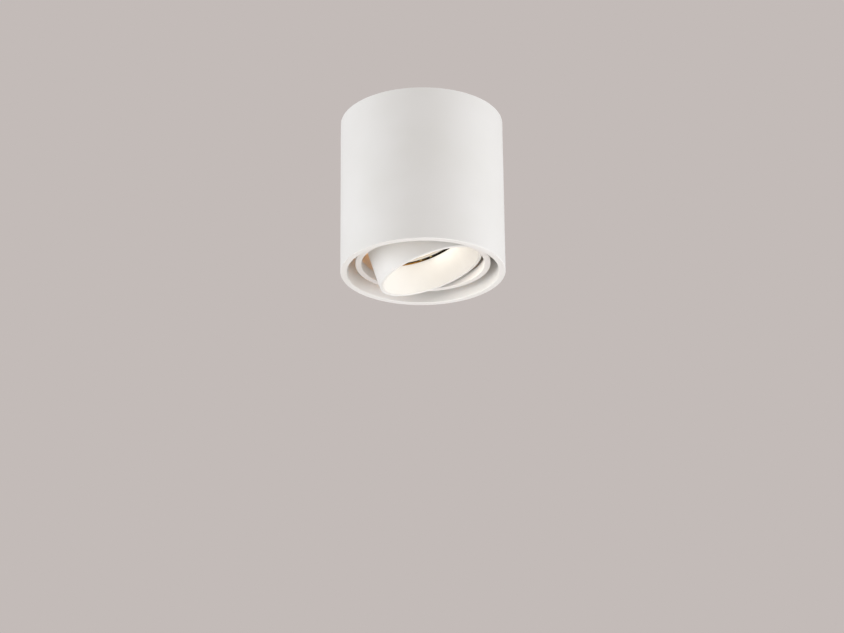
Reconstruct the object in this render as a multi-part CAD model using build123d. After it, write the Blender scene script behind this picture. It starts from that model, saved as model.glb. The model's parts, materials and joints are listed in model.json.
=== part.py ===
from build123d import *
import math
import os

# A white cylindrical spotlight for surface mounting on a ceiling. A plate on the ceiling holds the outer
# housing and a hollow nipple. A bent steel yoke turns on the nipple and carries a flat trim ring, and a
# lamp tube tilts between the ring's two lugs. The origin is the middle of the plate's ceiling face, +Z is
# up, and all sizes are millimetres and degrees. Radial sizes are built up from the lamp outwards, and
# heights from the ceiling downwards.

# ---------------------------------------------------------------- pose and limits
REST_TILT = 18.6  # lean of the lamp tube in the stored pose
REST_PAN = 9.1  # turn of the yoke about the vertical axis in the stored pose
TILT_LIMIT = 25.0  # furthest lean, each way
PAN_LIMIT = 175.0  # furthest turn, each way

# ---------------------------------------------------------------- clearances
FACE_GAP = 0.05  # between faces that slide on each other
RUNNING_GAP = 0.06  # radial, round a pivot
THREAD_GAP = 0.04  # radial, round a thread or a press fit
LIP_CLEARANCE = 1.0  # swinging mouth edge of the tube to the ring's bore
TUBE_SIDE_CLEARANCE = 2.3  # tilted tube's back edge to the housing wall
HEAD_ROOM = 1.25  # swinging lampholder to the yoke above it
TERMINAL_ROOM = 1.0  # terminal block to the ceiling plate

# ---------------------------------------------------------------- lamp (50 mm plug-in reflector lamp)
LAMP_D = 50.0
LAMP_LENGTH = 45.9  # front to the face that the pins stand on
LAMP_RIM_HEIGHT = 4.6
LAMP_RIM_WIDTH = 1.55  # edge of the shell round the lens
LAMP_WAIST_R = 17.5
LAMP_WAIST_FROM_FRONT = 27.6
LAMP_SHOULDER_R = 14.0
LAMP_NECK_R = 7.85
LAMP_NECK_LENGTH = 6.3
LAMP_WALL = 1.3
LENS_T = 1.4
LED_BOARD_DEPTH = 9.5  # front of the lamp to the board
LED_BOARD_T = 1.2
LED_COUNT = 8
LED_SIZE = 3.0
LED_T = 0.7
LED_CIRCLE_R = 11.5
DRIVER_BOARD_T = 1.4
DRIVER_BOARD_WIDTH = 21.0
PIN_SPACING = 10.0
PIN_NECK_R = 1.5
PIN_HEAD_R = 2.5
PIN_HEAD_HEIGHT = 2.0
PIN_LENGTH = 7.0
PIN_ROOT = 2.0  # pin length inside the cap

# ---------------------------------------------------------------- lamp tube, cone and retaining ring
LAMP_SIDE_ROOM = 5.1  # lamp rim to the tube's bore
TUBE_WALL = 1.2
MOUTH_DROP = 15.2  # tilt axis to the tube's mouth
TUBE_BACK_T = 2.0
TUBE_BACK_BORE_R = 20.5
TUBE_SHOULDER_T = 1.2
TUBE_EDGE = 0.35
PIVOT_BOSS_R = 4.2
CONE_DEPTH = 17.0  # mouth plane to the cone's inner edge
CONE_INSET = 0.2  # cone's outer edge behind the tube's mouth plane
CONE_WALL = 0.9
CONE_INNER_STEP = 0.3  # cone's inner edge inside the lamp's radius
RETAINER_T = 0.5
RETAINER_TOOTH_LENGTH = 1.6
RETAINER_TOOTH_ARC = 3.5
RETAINER_SHORT_GAP = 11.5  # degrees between the two teeth of a pair
RETAINER_PAIRS = 8
RETAINER_FIRST_TOOTH = 81.5  # degrees from the tilt direction

# ---------------------------------------------------------------- lampholder and its bridge
HOLDER_R = 13.5
HOLDER_HEIGHT = 14.2
HOLDER_GAP = 0.3  # lamp cap to the holder's face
HOLDER_FLAT = 12.0  # flat side where the leads go in
HOLDER_POCKET_R = 2.9
HOLDER_POCKET_DEPTH = 9.6
HOLDER_CONTACT_H = 2.4
HOLDER_SCREW_OFFSET = 10.6
LEAD_PORT_OFFSET = 3.0
LEAD_PORT_HEIGHT = 8.4  # above the holder's face
BRIDGE_T = 1.2
BRIDGE_WIDTH = 14.0
BRIDGE_CENTRE_R = 14.0
BRIDGE_HOLE_R = 8.2
BRIDGE_FOOT_IN = 21.7
BRIDGE_FOOT_OUT = 29.2
BRIDGE_SCREW_OFFSET = 26.35
BRIDGE_BEND_R = 1.2

# ---------------------------------------------------------------- trim ring
RING_WIDTH = 3.5
RING_HEIGHT = 5.5
RING_INSET = 5.2  # ring's lower face above the housing's rim
RING_EDGE = 0.3
LUG_SET = 0.5  # lug's inner face outside the ring's bore
LUG_WIDTH = 12.0
LUG_ABOVE_PIVOT = 12.0
LEG_SCREW_ABOVE_PIVOT = 8.2

# ---------------------------------------------------------------- housing
HOUSING_GAP = 4.9  # ring to the housing's inner wall
HOUSING_WALL = 3.8
MOUTH_INSET = 0.3  # untilted mouth above the housing's rim
RIM_ROUND = 0.5
RIM_CHAMFER = 0.35
SIDE_SCREW_DROP = 7.5  # below the ceiling

# ---------------------------------------------------------------- ceiling plate
PLATE_T = 1.5
PLATE_DISH = 2.5  # the middle lies this far below the ceiling
PLATE_FIT = 0.3  # radial, inside the housing
DISH_SLOPE_IN = 9.8  # from the plate's edge to the foot of the slope
DISH_SLOPE_WIDTH = 2.5
EAR_T = 1.5
EAR_WIDTH = 14.0
EAR_DROP = 12.8
SLOT_SPACING = 58.0
SLOT_LENGTH = 9.0
SLOT_WIDTH = 4.6

# ---------------------------------------------------------------- pan pivot
NIPPLE_R = 6.5
NIPPLE_BORE_R = 5.2
NIPPLE_COLLAR_R = 9.0
NIPPLE_COLLAR_T = 1.5
BUSH_BORE_R = 4.2
BUSH_FLANGE_T = 0.7
FRICTION_T = 0.5
FRICTION_R = 10.8
SPRING_T = 0.6
NUT_T = 2.6
NUT_ACROSS = 17.0
NIPPLE_PAST_NUT = 0.3

# ---------------------------------------------------------------- yoke and stop
YOKE_T = 1.5
YOKE_WIDTH = 20.0
YOKE_LEG_WIDTH = 12.0
YOKE_BEND_R = 1.75  # on the strap's middle line
YOKE_SHOULDER = 3.0  # legs narrow this far below the bar
NUT_CLEARANCE = 2.5
STOP_R = 1.25
STOP_REACH = 1.5  # rivet ends this far above the bar
STOP_GAP = 0.1
STOP_TAB_HEIGHT = 4.0
STOP_COLLAR_R = 2.0
STOP_COLLAR_T = 0.8

# ---------------------------------------------------------------- terminal block, earth and leads
TERMINAL_WIDTH = 12.0
TERMINAL_HEIGHT = 8.5
TERMINAL_END_GAP = 0.8
TERMINAL_POLES = 3
TERMINAL_PORT_R = 1.9
TERMINAL_PORT_HEIGHT = 4.3
CONTACT_BORE_R = 1.2
CONTACT_LENGTH = 7.0
LEAD_R = 1.1
LIVE_END_RUN = 5.5  # straight end of the live lead, into the lampholder
NEUTRAL_END_RUN = 4.5
TAG_R = 4.4
TAG_T = 0.8
TAG_BARREL_R = 1.5
TAG_BARREL_END = 9.0

# ---------------------------------------------------------------- screws: head radius, head height, shank radius
M2_HEAD_R, M2_HEAD_H, M2_R = 1.7, 1.3, 1.0
M25_HEAD_R, M25_HEAD_H, M25_R = 2.1, 1.4, 1.25
M3_HEAD_R, M3_HEAD_H, M3_R = 2.7, 1.8, 1.5
M4_HEAD_R, M4_HEAD_H, M4_R = 3.4, 2.1, 2.0
SHOULDER_R = 2.0
TILT_HEAD_R, TILT_HEAD_H = 3.2, 1.2  # low head of the tilt screws
SPRING_WASHER_R = 3.5
SPRING_WASHER_T = 0.3
SPRING_WASHER_RISE = 0.2

# ---------------------------------------------------------------- worked out: radii
lamp_r = LAMP_D / 2
tube_bore_r = lamp_r + LAMP_SIDE_ROOM
tube_r = tube_bore_r + TUBE_WALL
ring_bore_r = math.hypot(tube_r, MOUTH_DROP) + LIP_CLEARANCE
ring_r = ring_bore_r + RING_WIDTH
housing_bore_r = ring_r + HOUSING_GAP
housing_r = housing_bore_r + HOUSING_WALL
plate_r = housing_bore_r - PLATE_FIT
lug_in = ring_bore_r + LUG_SET
lug_out = math.sqrt(ring_r**2 - (LUG_WIDTH / 2) ** 2)
leg_out = lug_out + YOKE_T
boss_end = lug_in - FRICTION_T - 2 * FACE_GAP
leg_middle = lug_out + YOKE_T / 2
nut_corner_r = NUT_ACROSS / math.sqrt(3)
hat_in = nut_corner_r + NUT_CLEARANCE
hat_middle = hat_in + YOKE_T / 2
hat_out = hat_in + YOKE_T
terminal_in = hat_out + YOKE_BEND_R - YOKE_T / 2 + TERMINAL_END_GAP
terminal_out = leg_middle - STOP_R - TERMINAL_END_GAP
pole_pitch = (terminal_out - terminal_in) / TERMINAL_POLES
earth_screw_y = -(hat_out + leg_middle) / 2

# ---------------------------------------------------------------- worked out: heights on the tilted tube's axis
mouth_s = -MOUTH_DROP
cone_top_s = mouth_s + CONE_DEPTH
retainer_low_s = cone_top_s + FACE_GAP
lamp_front_s = retainer_low_s + RETAINER_T + FACE_GAP
lamp_back_s = lamp_front_s + LAMP_LENGTH
holder_low_s = lamp_back_s + HOLDER_GAP
holder_top_s = holder_low_s + HOLDER_HEIGHT
swing_r = math.hypot(holder_top_s, HOLDER_R)
tilt_limit = math.radians(TILT_LIMIT)
tube_reach = housing_bore_r - TUBE_SIDE_CLEARANCE - tube_r * math.cos(tilt_limit)
tube_top_s = tube_reach / math.sin(tilt_limit)

# ---------------------------------------------------------------- worked out: heights below the ceiling
plate_low = -PLATE_DISH - PLATE_T
hat_top = plate_low - FRICTION_T - 2 * FACE_GAP
spring_top = hat_top - YOKE_T - FACE_GAP
nut_top = spring_top - SPRING_T
nipple_end = nut_top - NUT_T - NIPPLE_PAST_NUT
bar_top = plate_low - TERMINAL_ROOM - TERMINAL_HEIGHT
bar_low = bar_top - YOKE_T
pivot_z = bar_low - HEAD_ROOM - swing_r
rim_z = pivot_z - MOUTH_DROP - MOUTH_INSET
ring_low = rim_z + RING_INSET
ring_top = ring_low + RING_HEIGHT
port_z = bar_top + TERMINAL_PORT_HEIGHT

ON_FLOOR = (Align.CENTER, Align.CENTER, Align.MIN)
PAN = Location((0, 0, 0), (0, 0, REST_PAN))
HEAD = PAN * Location((0, 0, pivot_z)) * Location((0, 0, 0), (0, -REST_TILT, 0))


# ---------------------------------------------------------------- plain shapes
def rod(radius, low, high):
    """A round bar on the Z axis."""
    return Pos(0, 0, low) * Cylinder(radius, high - low, align=ON_FLOOR)


def collar(radius, bore_r, low, high):
    """A round bar on the Z axis with a hole through it."""
    return rod(radius, low, high) - rod(bore_r, low - 1, high + 1)


def rod_x(radius, low, high):
    """A round bar on the X axis."""
    return Rot(0, 90, 0) * rod(radius, low, high)


def rod_y(radius, low, high):
    """A round bar on the Y axis."""
    return Rot(-90, 0, 0) * rod(radius, low, high)


def block(x_range, y_range, z_range):
    """A box between two values on each axis."""
    sizes = [high - low for low, high in (x_range, y_range, z_range)]
    low_corner = [span[0] for span in (x_range, y_range, z_range)]
    return Pos(*low_corner) * Box(*sizes, align=(Align.MIN, Align.MIN, Align.MIN))


def turned(*points):
    """A solid of revolution about Z from (radius, height) points."""
    outline = Polyline(*[(radius, 0, height) for radius, height in points], close=True)
    return revolve(make_face(outline), Axis.Z)


def group(solids):
    """Separate solids that share one node."""
    return Compound([solid for part in solids for solid in part.solids()])


def both_sides(shape):
    """The shape and its copy half a turn round the Z axis."""
    return [shape, Rot(0, 0, 180) * shape]


def bent_strap(points, width, thickness, bend_r):
    """A flat strap bent along points in the YZ plane, with its width along X."""
    path = FilletPolyline(*[(0, y, z) for y, z in points], radius=bend_r)
    section = Plane(origin=path @ 0, x_dir=(1, 0, 0), z_dir=path % 0) * Rectangle(width, thickness)
    return sweep(section, path=path)


def screw(head_r, head_h, shank_r, length):
    """A socket screw on the Z axis. Its head stands on Z = 0 and its shank points down."""
    body = rod(head_r, 0, head_h) + rod(shank_r, -length, 0)
    socket = extrude(RegularPolygon(head_r * 0.5, 6), head_h)
    body -= Pos(0, 0, head_h * 0.4) * socket
    top_edge = body.edges().filter_by(GeomType.CIRCLE).sort_by(Axis.Z)[-1]
    return fillet(top_edge, head_h * 0.2)


def lead(points):
    """A sleeved lead along a route, with each bend as wide as its two runs allow."""
    route = [Vector(*point) for point in points]
    runs = [end - start for start, end in zip(route, route[1:])]
    radii = []
    for before, after in zip(runs, runs[1:]):
        half_turn = math.radians(before.get_angle(after)) / 2
        radii.append(0.45 * min(before.length, after.length) / math.tan(half_turn))
    path = FilletPolyline(*route, radius=radii)
    section = Plane(origin=path @ 0, z_dir=path % 0) * Circle(LEAD_R)
    tube = sweep(section, path=path)
    fill = tube.volume / (math.pi * LEAD_R**2 * path.length)
    print("lead", round(path.length, 1), "mm, volume ratio", round(fill, 4), "radii", [round(r, 1) for r in radii])
    return tube


# ---------------------------------------------------------------- fixed to the ceiling
def base_plate():
    """Dished steel plate with two screw slots and two ears for the side screws."""
    slope_foot_r = plate_r - DISH_SLOPE_IN
    slope_top_r = slope_foot_r + DISH_SLOPE_WIDTH
    hole_r = NIPPLE_R + THREAD_GAP
    plate = turned(
        (hole_r, -PLATE_DISH),
        (slope_foot_r, -PLATE_DISH),
        (slope_top_r, 0),
        (plate_r, 0),
        (plate_r, -PLATE_T),
        (slope_top_r + PLATE_T / 2, -PLATE_T),
        (slope_foot_r + PLATE_T / 2, plate_low),
        (hole_r, plate_low),
    )
    ear = collar(plate_r, plate_r - EAR_T, -EAR_DROP, 0)
    ear &= block((0, plate_r), (-EAR_WIDTH / 2, EAR_WIDTH / 2), (-EAR_DROP, 0))
    ear -= Pos(0, 0, -SIDE_SCREW_DROP) * rod_x(M4_R + THREAD_GAP, 0, plate_r + 1)
    for side in both_sides(ear):
        plate += side
    slot = extrude(SlotOverall(SLOT_LENGTH, SLOT_WIDTH), -PLATE_DISH - PLATE_T - 1)
    for x in (-SLOT_SPACING / 2, SLOT_SPACING / 2):
        plate -= Pos(x, 0, 0) * slot
    plate -= Pos(0, leg_middle, 0) * rod(STOP_R + THREAD_GAP, -PLATE_T - 1, 1)
    return plate


def housing_shell():
    """Outer cylinder, open at both ends, with two counterbored side holes."""
    shell = collar(housing_r, housing_bore_r, rim_z, 0)
    rim_edges = shell.edges().filter_by(GeomType.CIRCLE).group_by(Axis.Z)[0].sort_by(SortBy.RADIUS)
    shell = chamfer(rim_edges[0], RIM_CHAMFER)
    outer_edges = shell.edges().filter_by(GeomType.CIRCLE).group_by(Axis.Z)
    shell = fillet([outer_edges[0].sort_by(SortBy.RADIUS)[-1]], RIM_ROUND)
    for side in both_sides(side_screw_hole()):
        shell -= side
    return shell


def side_screw_hole():
    """Clearance hole and counterbore for one side screw, on the +X side."""
    hole = rod_x(M4_R + RUNNING_GAP, plate_r, housing_r + 1)
    seat = rod_x(M4_HEAD_R + RUNNING_GAP, housing_r - M4_HEAD_H - RIM_ROUND, housing_r + 1)
    return Pos(0, 0, -SIDE_SCREW_DROP) * (hole + seat)


def housing_side_screws():
    """Two socket screws, one on each side."""
    seat_x = housing_r - M4_HEAD_H - RIM_ROUND
    length = seat_x - plate_r + EAR_T + FACE_GAP
    one = Pos(seat_x, 0, -SIDE_SCREW_DROP) * Rot(0, 90, 0) * screw(M4_HEAD_R, M4_HEAD_H, M4_R, length)
    return group(both_sides(one))


def pan_nipple():
    """Hollow threaded nipple, with its collar above the plate."""
    body = rod(NIPPLE_R, nipple_end, -PLATE_DISH)
    body += rod(NIPPLE_COLLAR_R, -PLATE_DISH, -PLATE_DISH + NIPPLE_COLLAR_T)
    return body - rod(NIPPLE_BORE_R, nipple_end - 1, 0)


def cable_bush():
    """Nylon bush that guards the supply wires inside the nipple."""
    flange_low = -PLATE_DISH + NIPPLE_COLLAR_T
    body = rod(NIPPLE_BORE_R - THREAD_GAP, nipple_end, flange_low)
    body += rod(NIPPLE_R, flange_low, flange_low + BUSH_FLANGE_T)
    return body - rod(BUSH_BORE_R, nipple_end - 1, 0)


def pan_lock_nut():
    """Thin hexagon nut on the nipple."""
    nut = extrude(RegularPolygon(NUT_ACROSS / 2, 6, major_radius=False), NUT_T)
    nut = Pos(0, 0, nut_top - NUT_T) * nut
    return nut - rod(NIPPLE_R + THREAD_GAP, nut_top - NUT_T - 1, nut_top + 1)


def pan_spring_washer():
    """Spring washer between the nut and the yoke."""
    return collar(NUT_ACROSS / 2, NIPPLE_R + THREAD_GAP, nut_top, spring_top)


def pan_stop_rivet():
    """Rivet in the plate that the yoke's tab meets at each end of its turn."""
    body = rod(STOP_R, bar_top + STOP_REACH, 0)
    body += rod(STOP_COLLAR_R, -PLATE_T - STOP_COLLAR_T, -PLATE_T)
    return Pos(0, leg_middle, 0) * body


# ---------------------------------------------------------------- turns with the yoke
def pan_friction_washer():
    """Nylon washer between the plate and the yoke."""
    return collar(FRICTION_R, NIPPLE_R + RUNNING_GAP, hat_top, hat_top + FRICTION_T)


def yoke():
    """Bent strap: raised middle on the nipple, flat bar on each side, and two legs."""
    half = [
        (hat_middle, hat_top - YOKE_T / 2),
        (hat_middle, bar_top - YOKE_T / 2),
        (leg_middle, bar_top - YOKE_T / 2),
        (leg_middle, ring_top + LUG_SET),
    ]
    points = [(-y, z) for y, z in reversed(half)] + half
    strap = bent_strap(points, YOKE_WIDTH, YOKE_T, YOKE_BEND_R)
    narrow_z = (rim_z, bar_low - YOKE_SHOULDER)
    for x_range in ((YOKE_LEG_WIDTH / 2, YOKE_WIDTH), (-YOKE_WIDTH, -YOKE_LEG_WIDTH / 2)):
        strap -= block(x_range, (-housing_r, housing_r), narrow_z)
    strap -= rod(NIPPLE_R + RUNNING_GAP, bar_low, 0)
    strap -= Pos(0, 0, pivot_z) * rod_y(SHOULDER_R + RUNNING_GAP, -housing_r, housing_r)
    strap -= Pos(0, 0, pivot_z + LEG_SCREW_ABOVE_PIVOT) * rod_y(M25_R + THREAD_GAP, -housing_r, housing_r)
    for y in terminal_screw_places():
        strap -= Pos(0, y, 0) * rod(M2_R + THREAD_GAP, bar_low - 1, bar_top + 1)
    strap -= Pos(0, earth_screw_y, 0) * rod(M4_R + THREAD_GAP, bar_low - 1, bar_top + 1)
    return strap + stop_tab()


def stop_tab():
    """Tab on the yoke's near end that meets the stop rivet."""
    reach = leg_middle * math.sin(math.radians(180 - PAN_LIMIT))
    half_width = reach - STOP_R - STOP_GAP
    y_range = (-leg_out, -lug_out)
    return block((-half_width, half_width), y_range, (bar_low - YOKE_BEND_R, bar_top + STOP_TAB_HEIGHT))


def trim_ring():
    """Flat ring round the lamp tube, with a lug over each tilt pivot."""
    ring = collar(ring_r, ring_bore_r, ring_low, ring_top)
    low_edges = ring.edges().filter_by(GeomType.CIRCLE).group_by(Axis.Z)[0]
    ring = fillet(low_edges, RING_EDGE)
    lug = block((-LUG_WIDTH / 2, LUG_WIDTH / 2), (lug_in, lug_out), (ring_top - 1, pivot_z + LUG_ABOVE_PIVOT))
    lug -= Pos(0, 0, pivot_z) * rod_y(SHOULDER_R + RUNNING_GAP, 0, housing_r)
    lug -= Pos(0, 0, pivot_z + LEG_SCREW_ABOVE_PIVOT) * rod_y(M25_R + THREAD_GAP, 0, housing_r)
    for side in both_sides(lug):
        ring += side
    return ring


def yoke_leg_screws():
    """Two screws through the legs into the ring's lugs."""
    one = Rot(-90, 0, 0) * screw(M25_HEAD_R, M25_HEAD_H, M25_R, leg_out - lug_in)
    return group(both_sides(Pos(0, leg_out, pivot_z + LEG_SCREW_ABOVE_PIVOT) * one))


def pole_places():
    """Y of each pole of the terminal block, from the middle outwards."""
    return [terminal_in + pole_pitch * (i + 0.5) for i in range(TERMINAL_POLES)]


def terminal_screw_places():
    """Y of the screws between the poles."""
    return [terminal_in + pole_pitch * i for i in range(1, TERMINAL_POLES)]


def terminal_block():
    """Push-in block on the yoke's bar, with a wire port on both sides of each pole."""
    half = TERMINAL_WIDTH / 2
    body = block((-half, half), (terminal_in, terminal_out), (bar_top, bar_top + TERMINAL_HEIGHT))
    body = fillet(body.edges().filter_by(Axis.Z), 0.6)
    for y in pole_places():
        body -= Pos(0, y, port_z) * rod_x(TERMINAL_PORT_R, -half - 1, half + 1)
    for y in terminal_screw_places():
        body -= Pos(0, y, 0) * rod(M2_R + THREAD_GAP, bar_top - 1, 0)
        body -= Pos(0, y, 0) * rod(M2_HEAD_R + THREAD_GAP, bar_top + TERMINAL_HEIGHT - M2_HEAD_H, 0)
    return body


def terminal_contacts():
    """Brass sleeves inside the block's ports."""
    half = CONTACT_LENGTH / 2
    sleeve = rod_x(TERMINAL_PORT_R - THREAD_GAP, -half, half) - rod_x(CONTACT_BORE_R, -half - 1, half + 1)
    return group(Pos(0, y, port_z) * sleeve for y in pole_places())


def terminal_screws():
    """Screws that hold the block on the bar."""
    seat = bar_top + TERMINAL_HEIGHT - M2_HEAD_H
    one = screw(M2_HEAD_R, M2_HEAD_H, M2_R, seat - bar_low)
    return group(Pos(0, y, seat) * one for y in terminal_screw_places())


def earth_tag():
    """Ring terminal on the bar, with the crimp barrel towards +X."""
    tag = rod(TAG_R, bar_top, bar_top + TAG_T)
    axis_z = bar_top + TAG_T + TAG_BARREL_R * 0.7
    tag += Pos(0, 0, axis_z) * rod_x(TAG_BARREL_R, TAG_R, TAG_BARREL_END)
    tag += block((0, TAG_BARREL_END), (-TAG_BARREL_R, TAG_BARREL_R), (bar_top, bar_top + TAG_T))
    tag -= rod(M4_R + THREAD_GAP, bar_top - 1, bar_top + TAG_T + 1)
    return Pos(0, earth_screw_y, 0) * tag


def earth_screw():
    """Screw through the tag into the bar."""
    return Pos(0, earth_screw_y, bar_top + TAG_T) * screw(M4_HEAD_R, M4_HEAD_H, M4_R, TAG_T + YOKE_T + 1)


def holder_port(offset):
    """Where a lead meets the lampholder at rest, before the yoke is turned."""
    tilt = math.radians(REST_TILT)
    height = holder_low_s + LEAD_PORT_HEIGHT
    x = offset * math.cos(tilt) - height * math.sin(tilt)
    z = pivot_z + height * math.cos(tilt) + offset * math.sin(tilt)
    return x, HOLDER_FLAT + FACE_GAP, z


def leads():
    """Live, neutral and earth leads. Their middle points are the chosen route."""
    start_x = CONTACT_LENGTH / 2 + FACE_GAP
    earth_y, live_y, neutral_y = pole_places()
    live_end = holder_port(LEAD_PORT_OFFSET)
    neutral_end = holder_port(-LEAD_PORT_OFFSET)
    live = [
        (start_x, live_y, port_z),
        (10.5, live_y, port_z),
        (14.5, 28.5, -14.0),
        (14.5, 32.0, -21.0),
        (11.5, 33.5, -27.5),
        (4.5, 31.5, -32.0),
        (-4.0, 26.5, -32.5),
        (-11.0, 21.5, -30.0),
        (live_end[0], live_end[1] + LIVE_END_RUN, live_end[2]),
        live_end,
    ]
    neutral = [
        (start_x, neutral_y, port_z),
        (10.0, neutral_y, port_z),
        (14.0, 35.2, -14.0),
        (13.5, 36.5, -21.0),
        (9.5, 37.0, -28.5),
        (1.5, 34.5, -34.5),
        (-8.0, 30.5, -36.5),
        (-16.0, 25.0, -34.0),
        (-20.5, 20.5, -29.5),
        (neutral_end[0], neutral_end[1] + NEUTRAL_END_RUN, neutral_end[2]),
        neutral_end,
    ]
    earth_z = bar_top + TAG_T + TAG_BARREL_R * 0.7
    earth = [
        (start_x, earth_y, port_z),
        (11.0, earth_y, port_z),
        (15.0, 13.5, -9.6),
        (16.0, 5.0, -10.5),
        (16.8, -6.0, -11.0),
        (18.2, -15.0, -11.4),
        (18.2, -22.1, earth_z),
        (14.5, earth_screw_y, earth_z),
        (TAG_BARREL_END + FACE_GAP, earth_screw_y, earth_z),
    ]
    return {"lead_live": lead(live), "lead_neutral": lead(neutral), "lead_earth": lead(earth)}


# ---------------------------------------------------------------- tilts with the lamp tube
def spot_tube():
    """Lamp tube: straight wall, back wall with a hole, inner shoulder and two pivot bosses."""
    tube = collar(tube_r, tube_bore_r, mouth_s, tube_top_s)
    mouth_edges = tube.edges().filter_by(GeomType.CIRCLE).group_by(Axis.Z)[0]
    tube = chamfer(mouth_edges, TUBE_EDGE)
    tube += collar(tube_r, TUBE_BACK_BORE_R, tube_top_s - TUBE_BACK_T, tube_top_s)
    shoulder_bore_r = lamp_r + LAMP_SIDE_ROOM * 0.12
    tube += collar(tube_bore_r + TUBE_WALL / 2, shoulder_bore_r, lamp_front_s, lamp_front_s + TUBE_SHOULDER_T)
    boss = rod_y(PIVOT_BOSS_R, tube_bore_r + TUBE_WALL / 2, boss_end)
    for side in both_sides(boss):
        tube += side
    tube -= rod_y(M3_R + THREAD_GAP, -boss_end - 1, boss_end + 1)
    for y in (-BRIDGE_SCREW_OFFSET, BRIDGE_SCREW_OFFSET):
        tube -= Pos(0, y, 0) * rod(M3_R + THREAD_GAP, tube_top_s - TUBE_BACK_T - 1, tube_top_s + 1)
    return tube


def tilt_screws():
    """Two shoulder screws: the shoulder turns in leg and lug, the thread holds in the boss."""
    head_low = leg_out + SPRING_WASHER_T + SPRING_WASHER_RISE
    one = screw(TILT_HEAD_R, TILT_HEAD_H, SHOULDER_R, head_low - boss_end)
    one += rod(M3_R, tube_bore_r - head_low, boss_end - head_low)
    return group(both_sides(Pos(0, head_low, 0) * Rot(-90, 0, 0) * one))


def tilt_friction_washers():
    """Nylon washers between the tube's bosses and the ring's lugs."""
    one = rod_y(PIVOT_BOSS_R, boss_end, boss_end + FRICTION_T)
    one -= rod_y(SHOULDER_R + RUNNING_GAP, 0, housing_r)
    return group(both_sides(one))


def tilt_spring_washers():
    """Cone washers under the heads of the tilt screws."""
    bore_r = SHOULDER_R + RUNNING_GAP
    low = leg_out + FACE_GAP
    high = leg_out + SPRING_WASHER_RISE
    cone = turned(
        (bore_r, high),
        (bore_r, high + SPRING_WASHER_T),
        (SPRING_WASHER_R, low + SPRING_WASHER_T),
        (SPRING_WASHER_R, low),
    )
    return group(both_sides(Rot(-90, 0, 0) * cone))


def reflector_cone():
    """Thin cone from the tube's mouth to the lamp, with a flange behind it."""
    edge_low = mouth_s + CONE_INSET
    mouth_outer_r = tube_bore_r - FACE_GAP
    inner_r = lamp_r - CONE_INNER_STEP
    flange_low = cone_top_s - CONE_WALL
    return turned(
        (mouth_outer_r - CONE_WALL, edge_low),
        (mouth_outer_r, edge_low),
        (mouth_outer_r, edge_low + CONE_WALL),
        (inner_r + CONE_WALL, flange_low),
        (tube_bore_r - FACE_GAP, flange_low),
        (tube_bore_r - FACE_GAP, cone_top_s),
        (inner_r, cone_top_s),
    )


def lamp_retaining_ring():
    """Spring ring with pairs of teeth that bear on the lamp's front edge."""
    high = retainer_low_s + RETAINER_T
    ring = collar(tube_bore_r - FACE_GAP, lamp_r, retainer_low_s, high)
    tooth_tip_r = lamp_r - RETAINER_TOOTH_LENGTH
    tooth_half = tooth_tip_r * math.radians(RETAINER_TOOTH_ARC / 2)
    tooth = block((tooth_tip_r, lamp_r + 1), (-tooth_half, tooth_half), (retainer_low_s, high))
    pair_step = 360 / RETAINER_PAIRS
    second = RETAINER_SHORT_GAP + RETAINER_TOOTH_ARC
    for pair in range(RETAINER_PAIRS):
        for offset in (0, -second):
            ring += Rot(0, 0, RETAINER_FIRST_TOOTH + offset + pair * pair_step) * tooth
    return ring


def shell_radius(depth):
    """Outside radius of the lamp's shell at a depth behind its front."""
    if depth <= LAMP_RIM_HEIGHT:
        return lamp_r
    share = (depth - LAMP_RIM_HEIGHT) / (LAMP_WAIST_FROM_FRONT - LAMP_RIM_HEIGHT)
    return lamp_r + (LAMP_WAIST_R - lamp_r) * share


def lamp_shell():
    """Hollow tapered shell of the lamp."""
    front = lamp_front_s
    rim_top = front + LAMP_RIM_HEIGHT
    waist = front + LAMP_WAIST_FROM_FRONT
    shoulder = lamp_back_s - LAMP_NECK_LENGTH
    lens_r = lamp_r - LAMP_RIM_WIDTH
    board_top = front + LED_BOARD_DEPTH + LED_BOARD_T
    board_seat_r = shell_radius(LED_BOARD_DEPTH + LED_BOARD_T) - LAMP_WALL
    return turned(
        (lens_r, front),
        (lamp_r, front),
        (lamp_r, rim_top),
        (LAMP_WAIST_R, waist),
        (LAMP_SHOULDER_R, shoulder),
        (LAMP_NECK_R + THREAD_GAP, shoulder),
        (LAMP_NECK_R + THREAD_GAP, shoulder - LAMP_WALL),
        (LAMP_SHOULDER_R - LAMP_WALL, shoulder - LAMP_WALL),
        (LAMP_WAIST_R - LAMP_WALL, waist),
        (board_seat_r - LAMP_WALL, board_top),
        (board_seat_r, board_top),
        (board_seat_r, front + LENS_T),
        (lens_r, front + LENS_T),
    )


def lamp_lens():
    """Round front lens, set flush in the shell."""
    lens_r = lamp_r - LAMP_RIM_WIDTH - FACE_GAP
    return rod(lens_r, lamp_front_s, lamp_front_s + LENS_T)


def lamp_led_board():
    """Round board that carries the light sources."""
    low = lamp_front_s + LED_BOARD_DEPTH
    radius = shell_radius(LED_BOARD_DEPTH + LED_BOARD_T) - LAMP_WALL - FACE_GAP
    return rod(radius, low, low + LED_BOARD_T)


def lamp_led_chips():
    """Light sources in a circle under the board."""
    low = lamp_front_s + LED_BOARD_DEPTH - LED_T
    chip = Pos(LED_CIRCLE_R, 0, low) * Box(LED_SIZE, LED_SIZE, LED_T, align=ON_FLOOR)
    return group(Rot(0, 0, 360 / LED_COUNT * i) * chip for i in range(LED_COUNT))


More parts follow.
